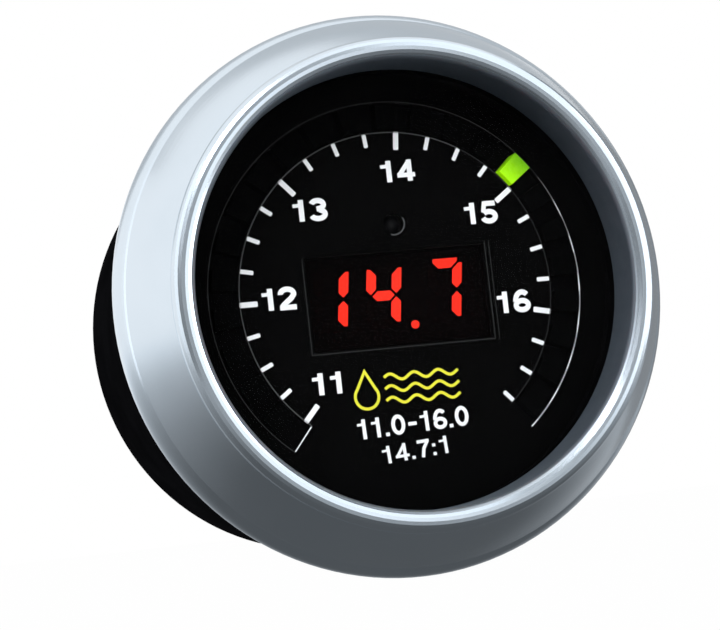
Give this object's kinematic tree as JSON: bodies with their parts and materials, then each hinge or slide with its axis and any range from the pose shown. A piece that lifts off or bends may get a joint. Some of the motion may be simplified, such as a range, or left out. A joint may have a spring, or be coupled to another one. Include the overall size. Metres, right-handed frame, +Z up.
{
  "type": "air fuel ratio gauge",
  "caption": "Round panel gauge: a screw-on silver bezel over a black dial with a ring of light guides and a red digital display, in a black cup with rear sockets and studs.",
  "frame": {"origin": "on the barrel's axis, in the plane where the bezel's back seats on the panel", "axes": "-Y is the way the dial faces, +Z is up on the dial, +X is to the right seen from the front"},
  "size_m": [0.0588, 0.067, 0.0588],
  "materials": {
    "satin_silver": "satin clear-coated",
    "black_cup": "moulded, fine grain",
    "black_face": "screen printed matt black",
    "black_ring": "moulded, matt",
    "clear_lens": "clear polished acrylic",
    "black_rubber": "plain",
    "smoked_guide": "dark smoked acrylic",
    "green_guide": "lit translucent acrylic",
    "smoked_filter": "smoked red acrylic",
    "module_case": "epoxy-filled case",
    "red_segment": "lit epoxy",
    "dark_segment": "unlit epoxy",
    "tinned_pin": "tin plated",
    "gold_pin": "gold plated",
    "sensor_body": "clear-coated epoxy",
    "led_package": "surface-mount package",
    "green_board": "solder-masked glass laminate",
    "connector_black": "glass-filled nylon",
    "brass_spacer": "turned",
    "steel_screw": "zinc plated",
    "chip_epoxy": "moulded epoxy",
    "ferrite": "wound ferrite core",
    "capacitor_can": "sleeved can",
    "crystal_can": "nickel plated can",
    "chip_ceramic": "multilayer chip",
    "switch_blue": "moulded",
    "switch_rotor": "moulded",
    "zinc_stud": "zinc plated thread",
    "spring_steel": "plain spring steel",
    "zinc_nut": "yellow zinc plated",
    "white_ink": "screen-printed ink",
    "yellow_ink": "screen-printed ink"
  },
  "bodies": {
    "housing": {"housing": "black_cup", "retaining_ring": "black_ring", "faceplate": "black_face", "light_baffle": "black_ring", "light_guides": "smoked_guide", "lit_light_guide": "green_guide", "display_filter": "smoked_filter", "display_module": "module_case", "dark_segments": "dark_segment", "lit_segments": "red_segment", "display_pins": "tinned_pin", "light_sensor": "sensor_body", "led_chips": "led_package", "display_board": "green_board", "board_link_socket": "connector_black", "board_link_header": "connector_black", "board_link_pins": "gold_pin", "board_spacers": "brass_spacer", "stack_screws": "steel_screw", "main_board": "green_board", "microcontroller": "chip_epoxy", "sensor_controller": "chip_epoxy", "voltage_regulator": "chip_epoxy", "inductor": "ferrite", "capacitors": "capacitor_can", "crystal": "crystal_can", "chip_capacitors": "chip_ceramic", "power_socket": "connector_black", "power_pins": "tinned_pin", "sensor_socket": "connector_black", "sensor_pins": "tinned_pin", "mode_switch_body": "switch_blue", "studs": "zinc_stud"},
    "lens_carrier": {"lens": "clear_lens", "lens_gasket": "black_rubber"},
    "bezel": {"bezel": "satin_silver"},
    "mode_rotor": {"mode_switch_rotor": "switch_rotor"},
    "plug": {"switch_plug": "black_rubber"},
    "washer_left": {"washer_left": "spring_steel"},
    "nut_left": {"nut_left": "zinc_nut"},
    "washer_right": {"washer_right": "spring_steel"},
    "nut_right": {"nut_right": "zinc_nut"}
  },
  "joints": [
    {"name": "bezel_advance", "type": "slide", "parent": "housing", "child": "lens_carrier", "axis": [0, -1, 0], "range_m": [0, 0.003]},
    {"name": "bezel_unscrew", "type": "hinge", "parent": "lens_carrier", "child": "bezel", "pos_m": [0, 0, 0], "axis": [0, -1, 0], "range_deg": [0, 1080]},
    {"name": "mode_select", "type": "hinge", "parent": "housing", "child": "mode_rotor", "pos_m": [0, 0.031, -0.012], "axis": [0, 1, 0], "continuous": true},
    {"name": "plug_pull", "type": "slide", "parent": "housing", "child": "plug", "axis": [0, 1, 0], "range_m": [0, 0.004]},
    {"name": "washer_left_slide", "type": "slide", "parent": "housing", "child": "washer_left", "axis": [0, 1, 0], "range_m": [0, 0.007]},
    {"name": "nut_left_unscrew", "type": "hinge", "parent": "washer_left", "child": "nut_left", "pos_m": [-0.018, 0.04, 0], "axis": [0, 1, 0], "range_deg": [0, 3600]},
    {"name": "washer_right_slide", "type": "slide", "parent": "housing", "child": "washer_right", "axis": [0, 1, 0], "range_m": [0, 0.007]},
    {"name": "nut_right_unscrew", "type": "hinge", "parent": "washer_right", "child": "nut_right", "pos_m": [0.018, 0.04, 0], "axis": [0, 1, 0], "range_deg": [0, 3600]}
  ],
  "couplings": [
    {"joint": "bezel_unscrew", "follows": "bezel_advance", "rad_per_m": 6283.2},
    {"joint": "nut_left_unscrew", "follows": "washer_left_slide", "rad_per_m": 8976},
    {"joint": "nut_right_unscrew", "follows": "washer_right_slide", "rad_per_m": 8976}
  ]
}
